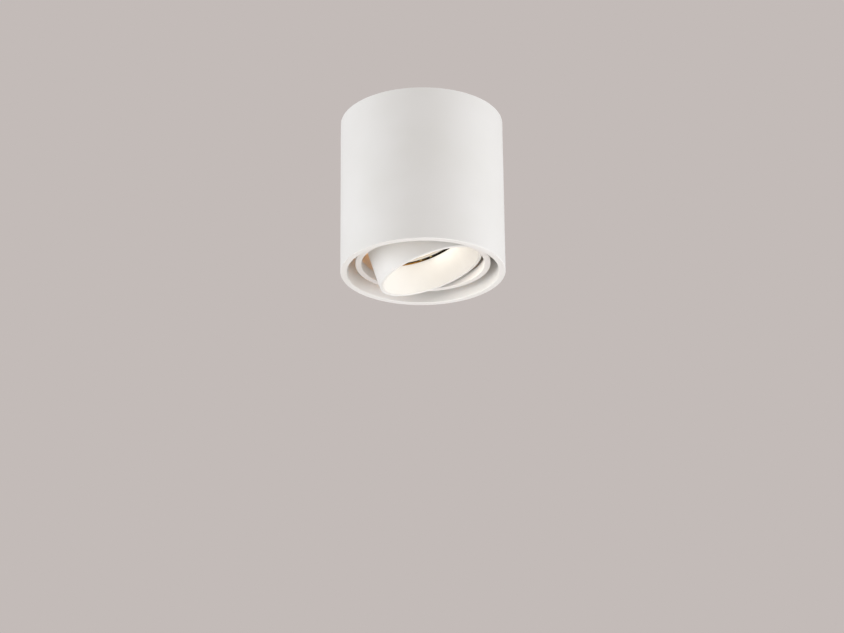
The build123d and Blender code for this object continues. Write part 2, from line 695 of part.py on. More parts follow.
def lamp_driver_board():
    """Upright circuit board between the round board and the cap."""
    low = lamp_front_s + LED_BOARD_DEPTH + LED_BOARD_T
    high = lamp_back_s - LAMP_NECK_LENGTH - LAMP_WALL - BRIDGE_T
    half_t = DRIVER_BOARD_T / 2
    return block((-half_t, half_t), (-DRIVER_BOARD_WIDTH / 2, DRIVER_BOARD_WIDTH / 2), (low, high))


def lamp_base_cap():
    """Cap at the back of the lamp, flanged inside the shell, with a hole for each pin."""
    shoulder = lamp_back_s - LAMP_NECK_LENGTH
    flange_top = shoulder - LAMP_WALL
    cap = rod(LAMP_NECK_R, flange_top, lamp_back_s)
    top_edge = cap.edges().filter_by(GeomType.CIRCLE).sort_by(Axis.Z)[-1]
    cap = chamfer(top_edge, 0.8)
    cap += rod((LAMP_NECK_R + LAMP_SHOULDER_R) / 2, flange_top - BRIDGE_T, flange_top)
    for y in (-PIN_SPACING / 2, PIN_SPACING / 2):
        cap -= Pos(0, y, 0) * rod(PIN_NECK_R + THREAD_GAP, lamp_back_s - PIN_ROOT, lamp_back_s + 1)
    return cap


def lamp_pins():
    """Two headed pins."""
    tip = lamp_back_s + PIN_LENGTH
    pin = rod(PIN_NECK_R, lamp_back_s - PIN_ROOT, tip) + rod(PIN_HEAD_R, tip - PIN_HEAD_HEIGHT, tip)
    return group(Pos(0, y, 0) * pin for y in (-PIN_SPACING / 2, PIN_SPACING / 2))


def holder_body():
    """Ceramic lampholder with two pin pockets and two counterbored screw holes."""
    body = rod(HOLDER_R, holder_low_s, holder_top_s)
    body = chamfer(body.edges().filter_by(GeomType.CIRCLE).sort_by(Axis.Z)[-1], 0.8)
    top = holder_top_s + 1
    body -= block((-HOLDER_R, HOLDER_R), (HOLDER_FLAT, HOLDER_R + 1), (holder_low_s - 1, top))
    for y in (-PIN_SPACING / 2, PIN_SPACING / 2):
        pocket = rod(HOLDER_POCKET_R, holder_low_s - 1, holder_low_s + HOLDER_POCKET_DEPTH)
        body -= Pos(0, y, 0) * pocket
    for x in (-HOLDER_SCREW_OFFSET, HOLDER_SCREW_OFFSET):
        body -= Pos(x, 0, 0) * rod(M25_R + THREAD_GAP, holder_low_s - 1, top)
        body -= Pos(x, 0, 0) * rod(M25_HEAD_R + THREAD_GAP, holder_top_s - M25_HEAD_H, top)
    return body


def holder_contacts():
    """Spring contacts at the bottom of the pin pockets."""
    high = holder_low_s + HOLDER_POCKET_DEPTH
    contact = rod(HOLDER_POCKET_R - THREAD_GAP, high - HOLDER_CONTACT_H, high)
    return group(Pos(0, y, 0) * contact for y in (-PIN_SPACING / 2, PIN_SPACING / 2))


def holder_screws():
    """Two screws through the holder into the bridge."""
    seat = holder_top_s - M25_HEAD_H
    one = screw(M25_HEAD_R, M25_HEAD_H, M25_R, seat - holder_low_s + BRIDGE_T)
    return group(Pos(x, 0, seat) * one for x in (-HOLDER_SCREW_OFFSET, HOLDER_SCREW_OFFSET))


def holder_bridge():
    """Bent steel strap on the tube's back that carries the lampholder."""
    foot_z = tube_top_s + BRIDGE_T / 2
    top_z = holder_low_s - BRIDGE_T / 2
    leg_y = BRIDGE_FOOT_IN + BRIDGE_T / 2
    half = [(leg_y, top_z), (leg_y, foot_z), (BRIDGE_FOOT_OUT, foot_z)]
    points = [(-y, z) for y, z in reversed(half)] + half
    strap = bent_strap(points, BRIDGE_WIDTH, BRIDGE_T, BRIDGE_BEND_R)
    strap += rod(BRIDGE_CENTRE_R, holder_low_s - BRIDGE_T, holder_low_s)
    strap -= rod(BRIDGE_HOLE_R, tube_top_s, holder_low_s + 1)
    for x in (-HOLDER_SCREW_OFFSET, HOLDER_SCREW_OFFSET):
        strap -= Pos(x, 0, 0) * rod(M25_R + THREAD_GAP, holder_low_s - BRIDGE_T - 1, holder_low_s + 1)
    for y in (-BRIDGE_SCREW_OFFSET, BRIDGE_SCREW_OFFSET):
        strap -= Pos(0, y, 0) * rod(M3_R + THREAD_GAP, tube_top_s - 1, tube_top_s + BRIDGE_T + 1)
    return strap


def bridge_screws():
    """Two screws through the bridge's feet into the tube's back wall."""
    one = screw(M3_HEAD_R, M3_HEAD_H, M3_R, BRIDGE_T + TUBE_BACK_T)
    seat = tube_top_s + BRIDGE_T
    return group(Pos(0, y, seat) * one for y in (-BRIDGE_SCREW_OFFSET, BRIDGE_SCREW_OFFSET))


# ---------------------------------------------------------------- write one file per node
FIXED_PIECES = (
    base_plate,
    housing_shell,
    housing_side_screws,
    pan_nipple,
    cable_bush,
    pan_lock_nut,
    pan_spring_washer,
    pan_stop_rivet,
)
YOKE_PIECES = (
    pan_friction_washer,
    yoke,
    trim_ring,
    yoke_leg_screws,
    terminal_block,
    terminal_contacts,
    terminal_screws,
    earth_tag,
    earth_screw,
)
HEAD_PIECES = (
    spot_tube,
    tilt_screws,
    tilt_friction_washers,
    tilt_spring_washers,
    reflector_cone,
    lamp_retaining_ring,
    lamp_shell,
    lamp_lens,
    lamp_led_board,
    lamp_led_chips,
    lamp_driver_board,
    lamp_base_cap,
    lamp_pins,
    holder_body,
    holder_contacts,
    holder_screws,
    holder_bridge,
    bridge_screws,
)


def main():
    """Build every piece in its own frame, move it to its rest place and write it."""
    os.makedirs("parts", exist_ok=True)
    nodes = {piece.__name__: piece() for piece in FIXED_PIECES}
    nodes.update({piece.__name__: PAN * piece() for piece in YOKE_PIECES})
    nodes.update({name: PAN * shape for name, shape in leads().items()})
    nodes.update({piece.__name__: HEAD * piece() for piece in HEAD_PIECES})
    for name, shape in nodes.items():
        export_step(shape, "parts/" + name + ".step")
    print("housing", round(2 * housing_r, 2), "x", round(-rim_z, 2), "pivot", round(pivot_z, 3))


main()
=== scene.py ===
"""White surface mounted ceiling spotlight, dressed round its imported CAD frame.

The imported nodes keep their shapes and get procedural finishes. The leads, the lamp's front and the
spring that holds the lamp are built here in finer detail, and replace their nodes.
"""

import json
import logging
import math
from dataclasses import dataclass, field
from enum import Enum
from typing import Any

import bmesh
import bpy
from mathutils import Matrix, Vector

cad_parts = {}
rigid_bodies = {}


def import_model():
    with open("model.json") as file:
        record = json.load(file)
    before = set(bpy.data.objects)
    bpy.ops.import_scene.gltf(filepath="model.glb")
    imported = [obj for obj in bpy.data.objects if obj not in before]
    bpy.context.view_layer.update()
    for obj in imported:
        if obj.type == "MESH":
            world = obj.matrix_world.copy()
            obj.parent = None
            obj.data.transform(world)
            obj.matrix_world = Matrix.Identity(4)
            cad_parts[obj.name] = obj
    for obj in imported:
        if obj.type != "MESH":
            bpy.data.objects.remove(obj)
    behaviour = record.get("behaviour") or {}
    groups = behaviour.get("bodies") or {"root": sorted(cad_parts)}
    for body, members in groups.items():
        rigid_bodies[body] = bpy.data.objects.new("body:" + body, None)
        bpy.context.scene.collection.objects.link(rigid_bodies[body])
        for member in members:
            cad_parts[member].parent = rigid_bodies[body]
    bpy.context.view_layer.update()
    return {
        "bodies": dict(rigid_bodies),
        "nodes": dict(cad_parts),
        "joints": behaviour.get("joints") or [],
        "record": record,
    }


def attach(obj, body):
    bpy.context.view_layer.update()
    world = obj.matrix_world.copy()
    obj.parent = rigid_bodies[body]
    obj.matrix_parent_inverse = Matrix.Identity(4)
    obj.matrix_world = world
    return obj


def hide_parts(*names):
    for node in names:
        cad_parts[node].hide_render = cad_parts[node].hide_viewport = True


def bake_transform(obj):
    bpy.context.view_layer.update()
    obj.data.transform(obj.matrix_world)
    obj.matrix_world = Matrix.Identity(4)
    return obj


Colour = tuple[float, float, float, float]
Triple = tuple[float, float, float]
Socket = bpy.types.NodeSocket
Tree = bpy.types.NodeTree

LOG = logging.getLogger("ceiling_spotlight")
MM = 0.001
PHOTO_WIDTH_PX = 844
SENSOR_MM = 36.0
NOISE_LIMITS = (0.3, 0.7)  # nearly all of a noise pattern lies between these
MIX_FACTOR, MIX_FIRST, MIX_SECOND = 0, 6, 7  # a Mix node's inputs, where it mixes colours
MIX_RESULT = 2


# ---------------------------------------------------------------- colour and node helpers
def linear(hex_colour: str) -> Colour:
    """Turns an sRGB hex colour into the linear RGBA that a shader takes.

    Args:
        hex_colour: Six hex digits, with or without a leading "#".

    Returns:
        Linear red, green, blue and an alpha of 1.
    """
    digits = hex_colour.lstrip("#")
    channels = [int(digits[i : i + 2], 16) / 255 for i in (0, 2, 4)]
    lin = [c / 12.92 if c <= 0.04045 else ((c + 0.055) / 1.055) ** 2.4 for c in channels]
    return (lin[0], lin[1], lin[2], 1.0)


def per_metre(feature_mm: float) -> float:
    """Pattern scale, in features per metre, of a feature of that size."""
    return 1.0 / (feature_mm * MM)


def add_node(
    tree: Tree,
    kind: str,
    inputs: dict[str | int, Any] | None = None,
    **settings: Any,
) -> bpy.types.Node:
    """Adds one shader node with its settings, values and links.

    Args:
        tree: The node tree that gets the node.
        kind: Blender's type name of the node, such as "ShaderNodeTexNoise".
        inputs: Input socket name or number to a value, or to the output socket to link.
        settings: Properties of the node itself, such as an operation.

    Returns:
        The new node.
    """
    node = tree.nodes.new(kind)
    for name, value in settings.items():
        setattr(node, name, value)
    for socket, value in (inputs or {}).items():
        if isinstance(value, Socket):
            tree.links.new(value, node.inputs[socket])
        else:
            node.inputs[socket].default_value = value
    return node


def new_material(name: str) -> tuple[bpy.types.Material, Tree]:
    """Makes an empty node material.

    Args:
        name: Name of the material.

    Returns:
        The material and its node tree, with no nodes in it.
    """
    material = bpy.data.materials.new(name)
    material.use_nodes = True
    material.node_tree.nodes.clear()
    return material, material.node_tree


def object_noise(
    tree: Tree, feature_mm: float, stretch: Triple = (1.0, 1.0, 1.0), detail: float = 3.0
) -> Socket:
    """Adds a noise pattern fixed to the piece.

    Args:
        tree: The node tree that gets the pattern.
        feature_mm: Size of one blotch, in millimetres.
        stretch: Factor on the pattern's frequency along X, Y and Z.
        detail: Octaves of finer noise.

    Returns:
        The noise value, about 0.5 on average.
    """
    place = add_node(tree, "ShaderNodeTexCoord").outputs["Object"]
    mapping = add_node(tree, "ShaderNodeMapping", {"Vector": place, "Scale": stretch})
    noise = add_node(
        tree,
        "ShaderNodeTexNoise",
        {"Vector": mapping.outputs[0], "Scale": per_metre(feature_mm), "Detail": detail},
    )
    return noise.outputs[0]


def shaded(
    tree: Tree,
    pattern: Socket,
    first: Colour | Socket,
    second: Colour,
    limits: tuple[float, float] = NOISE_LIMITS,
    most: float = 1.0,
) -> Socket:
    """Shades a surface from one colour to another as a pattern rises.

    Args:
        tree: The node tree that gets the nodes.
        pattern: The pattern.
        first: Colour where the pattern is at its lower limit or below.
        second: Colour that shows where it is at its upper limit or above.
        limits: Those two limits.
        most: Share of the second colour where it shows most.

    Returns:
        The shaded colour.
    """
    low, high = limits
    share = add_node(
        tree,
        "ShaderNodeMapRange",
        {"Value": pattern, "From Min": low, "From Max": high, "To Max": most},
    )
    shades = {MIX_FACTOR: share.outputs[0], MIX_FIRST: first, MIX_SECOND: second}
    return add_node(tree, "ShaderNodeMix", shades, data_type="RGBA").outputs[MIX_RESULT]


def finish_surface(
    tree: Tree,
    shader_inputs: dict[str, Any],
    relief: Socket | None = None,
    relief_mm: float = 0.0,
    worn: Socket | None = None,
    wear: tuple[float, float] = (0.0, 0.0),
) -> None:
    """Adds the principled shader with its relief and wear, and the material's output.

    Args:
        tree: The node tree that gets them.
        shader_inputs: Values and links of the principled shader, with a number for "Roughness".
        relief: Relief pattern, or None for a smooth surface.
        relief_mm: Height of the relief where that pattern rises by 1.
        worn: Noise pattern of the wear, or None where the surface is worn evenly.
        wear: What the roughness changes by where that pattern is low, and where it is high.
    """
    inputs = dict(shader_inputs)
    if worn is not None:
        low, high = NOISE_LIMITS
        least, most = (inputs["Roughness"] + change for change in wear)
        limits = {"From Min": low, "From Max": high, "To Min": least, "To Max": most}
        spread = add_node(tree, "ShaderNodeMapRange", {"Value": worn, **limits})
        inputs["Roughness"] = spread.outputs[0]
    if relief is not None:
        bump = add_node(tree, "ShaderNodeBump", {"Height": relief, "Distance": relief_mm * MM})
        inputs["Normal"] = bump.outputs[0]
    shader = add_node(tree, "ShaderNodeBsdfPrincipled", inputs)
    add_node(tree, "ShaderNodeOutputMaterial", {"Surface": shader.outputs[0]})


# ---------------------------------------------------------------- finishes
@dataclass(frozen=True)
class PowderCoat:
    """Polyester powder coat, baked on aluminium: matt white with a faint orange-peel relief."""

    name: str
    colour: str
    shade: str
    roughness: float = 0.5
    peel_mm: float = 0.9  # real orange peel is 0.3 to 1 mm across
    relief_mm: float = 0.006
    wear: tuple[float, float] = (-0.05, 0.05)
    cloud_mm: float = 30.0
    ior: float = 1.5

    def material(self) -> bpy.types.Material:
        """Builds the finish: even colour, soft sheen, and fine waviness in the reflections.

        Returns:
            The material.
        """
        material, tree = new_material(self.name)
        cloud = object_noise(tree, self.cloud_mm, detail=2.0)
        peel = object_noise(tree, self.peel_mm, detail=2.0)
        grain = object_noise(tree, self.peel_mm / 4, detail=1.0)
        relief = add_node(tree, "ShaderNodeMath", {0: peel, 1: grain}, operation="ADD")
        inputs = {
            "Base Color": shaded(tree, cloud, linear(self.colour), linear(self.shade)),
            "Roughness": self.roughness,
            "IOR": self.ior,
        }
        finish_surface(tree, inputs, relief.outputs[0], self.relief_mm, grain, self.wear)
        return material


@dataclass(frozen=True)
class PlatedSteel:
    """Zinc plated steel: bluish grey metal with rolling marks and cloudy passivation."""

    name: str
    colour: str = "#B9BBBD"
    shade: str = "#A8ABAD"
    tint: str = "#B3B0A4"
    roughness: float = 0.38
    mark_mm: float = 0.25  # rolling marks are finer, drawn coarse enough to show
    stretch: Triple = (1.0, 0.04, 1.0)
    relief_mm: float = 0.006
    wear: tuple[float, float] = (-0.08, 0.1)
    cloud_mm: float = 9.0
    cloud_share: float = 0.4

    def material(self) -> bpy.types.Material:
        """Builds the finish: streaks along the sheet, with faint yellow clouds.

        Returns:
            The material.
        """
        material, tree = new_material(self.name)
        marks = object_noise(tree, self.mark_mm, self.stretch)
        cloud = object_noise(tree, self.cloud_mm, detail=4.0)
        streaked = shaded(tree, marks, linear(self.colour), linear(self.shade))
        clouded = shaded(tree, cloud, streaked, linear(self.tint), most=self.cloud_share)
        inputs = {
            "Base Color": clouded,
            "Metallic": 1.0,
            "Roughness": self.roughness,
        }
        finish_surface(tree, inputs, marks, self.relief_mm, marks, self.wear)
        return material


@dataclass(frozen=True)
class TurnedMetal:
    """Turned or rolled metal, such as brass or spring steel, with fine tool marks."""

    name: str
    colour: str
    shade: str
    roughness: float
    mark_mm: float = 0.2  # tool marks are 0.05 mm apart, drawn coarse enough to show
    stretch: Triple = (1.0, 1.0, 0.2)
    relief_mm: float = 0.003
    wear: tuple[float, float] = (-0.05, 0.12)
    cloud_mm: float = 4.0

    def material(self) -> bpy.types.Material:
        """Builds the finish: a metal that is a little duller where it was handled.

        Returns:
            The material.
        """
        material, tree = new_material(self.name)
        marks = object_noise(tree, self.mark_mm, self.stretch)
        cloud = object_noise(tree, self.cloud_mm)
        inputs = {
            "Base Color": shaded(tree, cloud, linear(self.colour), linear(self.shade)),
            "Metallic": 1.0,
            "Roughness": self.roughness,
        }
        finish_surface(tree, inputs, marks, self.relief_mm, cloud, self.wear)
        return material


@dataclass(frozen=True)
class TarnishedAndShadedBrass:
    """Rolled spring brass: bright where it is rubbed, brown where tarnished, and black where shade
    is painted on.
    """

    name: str = "tarnished_and_shaded_spring_brass"
    bright: str = "#F1DA94"
    brown: str = "#B5853F"
    # colour of the painted shade
    shade_black: str = "#2A2415"
    brown_at: float = 0.5  # tarnish at which the metal is brown, between 0 bright and 1 black painted shade
    roughness: float = 0.3
    mark_mm: float = 0.3  # rolling marks are 0.05 mm apart, drawn coarse enough to show
    stretch: Triple = (1.0, 1.0, 0.3)
    relief_mm: float = 0.003
    wear: tuple[float, float] = (-0.05, 0.1)

    def material(self) -> bpy.types.Material:
        """Builds the finish from the spring's own attribute of tarnish and painted shade.

        Returns:
            The material.
        """
        material, tree = new_material(self.name)
        tarnish_and_shade = add_node(tree, "ShaderNodeAttribute", attribute_name="tarnish_and_shade").outputs["Fac"]
        marks = object_noise(tree, self.mark_mm, self.stretch)
        bright, brown, shade_black = (linear(tone) for tone in (self.bright, self.brown, self.shade_black))
        # brown is tarnish; the black beyond it is painted shade
        warm = shaded(tree, tarnish_and_shade, bright, brown, (0.0, self.brown_at))
        inputs = {
            "Base Color": shaded(tree, tarnish_and_shade, warm, shade_black, (self.brown_at, 1.0)),
            "Metallic": 1.0,
            "Roughness": self.roughness,
        }
        finish_surface(tree, inputs, marks, self.relief_mm, marks, self.wear)
        return material


@dataclass(frozen=True)
class MouldedPlastic:
    """Injection moulded plastic with a fine spark-eroded grain."""

    name: str
    colour: str
    shade: str
    roughness: float = 0.45
    grain_mm: float = 0.25
    ior: float = 1.53
    translucency: float = 0.0
    depth_mm: float = 1.0  # how far light spreads in the plastic
    relief_mm: float = 0.008
    wear: tuple[float, float] = (-0.06, 0.06)
    cloud_mm: float = 6.0

    def material(self) -> bpy.types.Material:
        """Builds the finish: nearly even colour over a fine matt grain.

        Returns:
            The material.
        """
        material, tree = new_material(self.name)
        cloud = object_noise(tree, self.cloud_mm)
        grain = object_noise(tree, self.grain_mm, detail=1.0)
        inputs = {
            "Base Color": shaded(tree, cloud, linear(self.colour), linear(self.shade)),
            "Roughness": self.roughness,
            "IOR": self.ior,
            "Subsurface Weight": self.translucency,
            "Subsurface Scale": self.depth_mm * MM,
        }
        finish_surface(tree, inputs, grain, self.relief_mm, grain, self.wear)
        return material


@dataclass(frozen=True)
class Steatite:
    """Unglazed steatite ceramic: cream, dry to the eye, with fine grey specks."""

    name: str = "unglazed_steatite"
    colour: str = "#DCD7CA"
    shade: str = "#CBC4B4"
    speck: str = "#8F897C"
    roughness: float = 0.62
    ior: float = 1.6
    relief_mm: float = 0.02
    cloud_mm: float = 5.0
    speck_mm: float = 0.35
    speck_limits: tuple[float, float] = (0.66, 0.74)  # noise at a speck's edge and inside it
    speck_share: float = 0.6

    def material(self) -> bpy.types.Material:
        """Builds the finish: a dry body with scattered specks.

        Returns:
            The material.
        """
        material, tree = new_material(self.name)
        cloud = object_noise(tree, self.cloud_mm)
        grain = object_noise(tree, self.speck_mm)
        body = shaded(tree, cloud, linear(self.colour), linear(self.shade))
        specked = shaded(
            tree, grain, body, linear(self.speck), self.speck_limits, self.speck_share
        )
        inputs = {"Base Color": specked, "Roughness": self.roughness, "IOR": self.ior}
        finish_surface(tree, inputs, grain, self.relief_mm)
        return material


@dataclass(frozen=True)
class LitOptic:
    """Moulded polycarbonate optic, lit from behind: near white over the chips, honey at its rim."""

    name: str = "lit_polycarbonate_optic"
    colour: str = "#A8A193"
    core: str = "#FFF9ED"
    rim: str = "#D79A4E"
    strength_low: float = 0.2
    strength_high: float = 0.92
    white_from: float = 0.3  # glow at which the honey colour has gone
    roughness: float = 0.22
    ior: float = 1.585
    grain_mm: float = 0.4  # the mould's spark-eroded grain is 0.05 mm, drawn coarse enough to show
    relief_mm: float = 0.003

    def material(self) -> bpy.types.Material:
        """Builds the finish from the optic's own "glow" attribute, 1 over a chip and 0 at the rim.

        Returns:
            The material.
        """
        material, tree = new_material(self.name)
        glow = add_node(tree, "ShaderNodeAttribute", attribute_name="glow").outputs["Fac"]
        levels = {"To Min": self.strength_low, "To Max": self.strength_high}
        strength = add_node(tree, "ShaderNodeMapRange", {"Value": glow, **levels})
        white = (0.0, self.white_from)
        inputs = {
            "Base Color": linear(self.colour),
            "Roughness": self.roughness,
            "IOR": self.ior,
            "Emission Color": shaded(tree, glow, linear(self.rim), linear(self.core), white),
            "Emission Strength": strength.outputs[0],
        }
        grain = object_noise(tree, self.grain_mm, detail=1.0)
        finish_surface(tree, inputs, grain, self.relief_mm)
        return material


@dataclass(frozen=True)
class Phosphor:
    """Silicone filled with yellow phosphor, lit."""

    name: str = "lit_phosphor"
    colour: str = "#F4D04A"
    glow: str = "#FFE0A8"
    strength: float = 4.0
    roughness: float = 0.3
    ior: float = 1.41
    grain_mm: float = 0.15
    relief_mm: float = 0.005

    def material(self) -> bpy.types.Material:
        """Builds the finish: glossy yellow with a warm glow.

        Returns:
            The material.
        """
        material, tree = new_material(self.name)
        inputs = {
            "Base Color": linear(self.colour),
            "Roughness": self.roughness,
            "IOR": self.ior,
            "Emission Color": linear(self.glow),
            "Emission Strength": self.strength,
        }
        finish_surface(tree, inputs, object_noise(tree, self.grain_mm), self.relief_mm)
        return material


@dataclass(frozen=True)
class SolderMask:
    """Glass-epoxy circuit board under solder mask, with tracks as faint relief."""

    name: str = "solder_mask"
    colour: str = "#1E5A38"
    track: str = "#2C7A4C"
    track_mm: float = 1.2  # from one track to the next
    row_height: float = 0.25  # the same in the brick pattern's own unit
    track_width: float = 0.03  # in that unit too
    roughness: float = 0.28
    ior: float = 1.55
    relief_mm: float = 0.03

    def material(self) -> bpy.types.Material:
        """Builds the finish: glossy green with lighter straight tracks.

        Returns:
            The material.
        """
        material, tree = new_material(self.name)
        place = add_node(tree, "ShaderNodeTexCoord").outputs["Object"]
        layout = {
            "Vector": place,
            "Scale": per_metre(self.track_mm) * self.row_height,
            "Row Height": self.row_height,
            "Mortar Size": self.track_width,
        }
        tracks = add_node(tree, "ShaderNodeTexBrick", layout).outputs["Fac"]
        colour = shaded(tree, tracks, linear(self.colour), linear(self.track), (0.0, 1.0))
        inputs = {"Base Color": colour, "Roughness": self.roughness, "IOR": self.ior}
        finish_surface(tree, inputs, tracks, self.relief_mm)
        return material


@dataclass(frozen=True)
class SiliconeSleeve:
    """Extruded silicone lead sleeve: dull, soft, and striped where it marks an earth lead."""

    name: str
    colour: str
    stripe: str | None = None
    stripe_edge: float = 0.5  # the stripe ends halfway between a striped point and a plain one
    roughness: float = 0.55
    ior: float = 1.43
    grain_mm: float = 0.3
    relief_mm: float = 0.01
    wear: tuple[float, float] = (-0.08, 0.08)

    def material(self) -> bpy.types.Material:
        """Builds the finish. The stripe follows the lead's own "around" attribute.

        Returns:
            The material.
        """
        material, tree = new_material(self.name)
        grain = object_noise(tree, self.grain_mm)
        colour: Colour | Socket = linear(self.colour)
        if self.stripe:
            around = add_node(tree, "ShaderNodeAttribute", attribute_name="around").outputs["Fac"]
            test = {0: around, 1: self.stripe_edge}
            inside = add_node(tree, "ShaderNodeMath", test, operation="GREATER_THAN").outputs[0]
            colour = shaded(tree, inside, colour, linear(self.stripe), (0.0, 1.0))
        inputs = {"Base Color": colour, "Roughness": self.roughness, "IOR": self.ior}
        finish_surface(tree, inputs, grain, self.relief_mm, grain, self.wear)
        return material


class Finish(Enum):
    """Every finish of the spotlight, by the part that it belongs to."""

    HOUSING = PowderCoat("powder_coat_housing", "#EFEFED", "#ECECE9")
    RING = PowderCoat("powder_coat_ring", "#EEEDEA", "#EBE9E6")
    TUBE = PowderCoat("powder_coat_tube", "#F0F0EE", "#EDEDEA")
    CONE = PowderCoat("smooth_coat_cone", "#F4F3EF", "#F2F0EB", 0.42, 0.7, 0.003)
    COATED_SCREW = PowderCoat("powder_coat_screw", "#E6E4E0", "#E0DED9", 0.45, 0.6, 0.004)
    SHEET = PlatedSteel("zinc_plated_sheet")
    SCREW = PlatedSteel("zinc_plated_screw", "#A9AAAC", "#8D8F92", "#A8A290", 0.32, 0.12)
    SPRING_STEEL = TurnedMetal("oiled_spring_steel", "#6E6E70", "#5A5A5C", 0.35)
    NICKEL = TurnedMetal("nickel_plated_brass", "#CFC8BA", "#B9B2A3", 0.24)
    BRASS = TurnedMetal("bare_brass", "#D4AE62", "#B78F47", 0.3)
    SPRING_BRASS = TarnishedAndShadedBrass()
    NYLON = MouldedPlastic("natural_nylon", "#E6E2D6", "#DCD7C9", 0.42, translucency=0.15)
    BLOCK = MouldedPlastic("moulded_polyamide", "#D9D8D3", "#CFCEC8", 0.5)
    LAMP_SHELL = MouldedPlastic("heat_conducting_polymer", "#3A3632", "#322E2B", 0.55, 0.3)
    LAMP_CAP = MouldedPlastic("heat_proof_polymer", "#E8E6DF", "#DEDCD4", 0.3, 0.4)
    STEATITE = Steatite()
    OPTIC = LitOptic()
    PHOSPHOR = Phosphor()
    LED_BOARD = PowderCoat("white_solder_mask", "#E8E8E4", "#E2E2DE", 0.35, 0.5, 0.002)
    CIRCUIT = SolderMask()
    SLEEVE_BROWN = SiliconeSleeve("brown_silicone", "#6B4026")
    SLEEVE_BLUE = SiliconeSleeve("blue_silicone", "#2F62A8")
    SLEEVE_EARTH = SiliconeSleeve("green_yellow_silicone", "#3F8A35", "#E3CC2E")


class Palette:
    """Builds each finish once and hands out its material."""

    def __init__(self) -> None:
        """Starts with no material built."""
        self.made: dict[Finish, bpy.types.Material] = {}

    def __getitem__(self, finish: Finish) -> bpy.types.Material:
        """Builds the material of a finish the first time that it is asked for.

        Args:
            finish: The finish.

        Returns:
            Its material.
        """
        if finish not in self.made:
            self.made[finish] = finish.value.material()
        return self.made[finish]


# ---------------------------------------------------------------- frame and mesh helpers
def rest_pose(joints: list[dict[str, Any]]) -> tuple[float, float, Vector]:
    """Works out how the lamp tube stands at rest from the tilt joint.

    Args:
        joints: The frame's joints.

    Returns:
        Turn of the yoke and lean of the tube, in radians, and the tilt pivot's place.
    """
    tilt = next(joint for joint in joints if joint["name"] == "tilt")
    low, high = tilt["range_deg"]
    lean = math.radians(-(low + high) / 2)
    turn = math.atan2(tilt["axis"][0], -tilt["axis"][1])
    return turn, lean, Vector(tilt["pos_m"])


def head_matrix(joints: list[dict[str, Any]]) -> Matrix:
    """Works out the lamp tube's own frame at rest.

    Args:
        joints: The frame's joints.

    Returns:
        Matrix of that frame: Z is the tube's axis, and its mouth leans towards X.
    """
    turn, lean, pivot = rest_pose(joints)
    turned = Matrix.Rotation(turn, 4, "Z")
    return turned @ Matrix.Translation(pivot) @ Matrix.Rotation(-lean, 4, "Y")


def scene_object(name: str, data: bpy.types.ID) -> bpy.types.Object:
    """Puts a mesh, curve, light or camera into the scene.

    Args:
        name: Name of the object.
        data: What the object shows.

    Returns:
        The object.
    """
    obj = bpy.data.objects.new(name, data)
    bpy.context.scene.collection.objects.link(obj)
    return obj


def mesh_object(
    name: str, shape: bmesh.types.BMesh, material: bpy.types.Material
) -> bpy.types.Object:
    """Turns a finished shape into a mesh object of the scene.

    Args:
        name: Name of the object and of its mesh.
        shape: The shape, which is freed.
        material: The material for all its faces.

    Returns:
        The object.
    """
    mesh = bpy.data.meshes.new(name)
    shape.to_mesh(mesh)
    shape.free()
    mesh.materials.append(material)
    return scene_object(name, mesh)


# ---------------------------------------------------------------- leads
@dataclass
class Lead:
    """One sleeved lead inside the housing, along a given route."""

    node: str
    slot: str
    finish: Finish
    route_mm: list[Triple]
    turn: float
    to_head: bool = False  # ends in the lampholder, so it is not attached to the yoke
    radius_mm: float = 1.1
    sides: int = 16
    samples: int = 14
    stripe_from: float = 0.75  # sine of the angle round the sleeve where the stripe starts
    bend_start_mm: Triple = (0.0, 0.0, -7.1)  # where the lead's bend starts; not used
    bend_end_mm: Triple = (-15.6, 0.0, -22.6)  # where the lead's bend ends; not used

    def spline_points(self) -> list[Vector]:
        """Reads the smooth line of the lead from a NURBS curve through its route.

        Returns:
            Points along the line, in metres, in the frame of the scene.
        """
        curve = bpy.data.curves.new(self.node + "_line", "CURVE")
        curve.dimensions = "3D"
        curve.resolution_u = self.samples
        spline = curve.splines.new("NURBS")
        spline.points.add(len(self.route_mm) - 1)
        turned = Matrix.Rotation(self.turn, 4, "Z")
        for point, place in zip(spline.points, self.route_mm):
            point.co = (turned @ Vector(place) * MM).to_4d()
        spline.order_u = 3
        spline.use_endpoint_u = True
        line = scene_object(self.node + "_line", curve)
        mesh = bpy.data.meshes.new_from_object(line)
        points = [vertex.co.copy() for vertex in mesh.vertices]
        bpy.data.objects.remove(line)
        bpy.data.meshes.remove(mesh)
        return points

    def build(self, palette: Palette) -> bpy.types.Object:
        """Makes the sleeve as a tube along the line.

        Args:
            palette: The finishes.

        Returns:
            The lead's object.
        """
        line = self.spline_points()
        tube = bmesh.new()
        around = tube.verts.layers.float.new("around")
        side = Vector((0, 0, 1))
        rings = []
        for i, place in enumerate(line):
            ahead = (line[min(i + 1, len(line) - 1)] - line[max(i - 1, 0)]).normalized()
            side = (side - ahead * side.dot(ahead)).normalized()
            other = ahead.cross(side)
            ring = []
            for k in range(self.sides):
                angle = 2 * math.pi * k / self.sides
                offset = side * math.cos(angle) + other * math.sin(angle)
                vertex = tube.verts.new(place + offset * self.radius_mm * MM)
                vertex[around] = 1.0 if abs(math.sin(angle)) > self.stripe_from else 0.0
                ring.append(vertex)
            rings.append(ring)
        for first, second in zip(rings, rings[1:]):
            for k in range(self.sides):
                after = (k + 1) % self.sides
                tube.faces.new((first[k], first[after], second[after], second[k]))
        tube.faces.new(list(reversed(rings[0])))
        tube.faces.new(rings[-1])
        obj = mesh_object(self.node + "_sleeve", tube, palette[self.finish])
        obj.data.shade_smooth()
        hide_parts(self.node)
        if self.to_head:
            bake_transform(obj)
        else:
            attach(obj, "pan_frame")
        return obj


